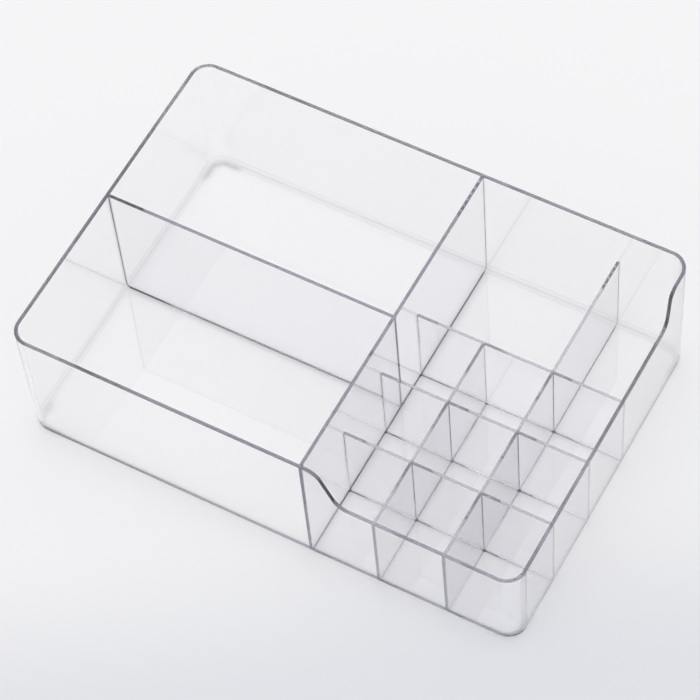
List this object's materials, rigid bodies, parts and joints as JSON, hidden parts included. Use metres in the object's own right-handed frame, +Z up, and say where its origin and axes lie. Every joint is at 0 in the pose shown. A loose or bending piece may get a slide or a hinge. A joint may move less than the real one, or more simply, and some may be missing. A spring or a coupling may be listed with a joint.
{
  "type": "vanity organizer",
  "caption": "Clear rectangular vanity tray with rounded corners, a rim that drops at one corner, tall dividers and a grid of small cells.",
  "frame": {"origin": "on the resting plane, under the middle of the rim's rectangle", "axes": "+X to the right along the long side, +Y to the back, +Z up; the rim drops at the +X -Y corner"},
  "size_m": [0.32, 0.218, 0.097],
  "materials": {
    "clear_polystyrene": "clear colourless moulded polystyrene, polished and glossy, edges look grey with a faint lilac tint"
  },
  "bodies": {
    "root": {"base_floor": "clear_polystyrene", "outer_wall": "clear_polystyrene", "main_divider": "clear_polystyrene", "left_divider": "clear_polystyrene", "rear_row_divider": "clear_polystyrene", "middle_row_divider": "clear_polystyrene", "front_row_divider": "clear_polystyrene", "long_column_divider": "clear_polystyrene", "short_column_divider": "clear_polystyrene", "front_left_foot": "clear_polystyrene", "front_right_foot": "clear_polystyrene", "back_left_foot": "clear_polystyrene", "back_right_foot": "clear_polystyrene"}
  },
  "joints": []
}
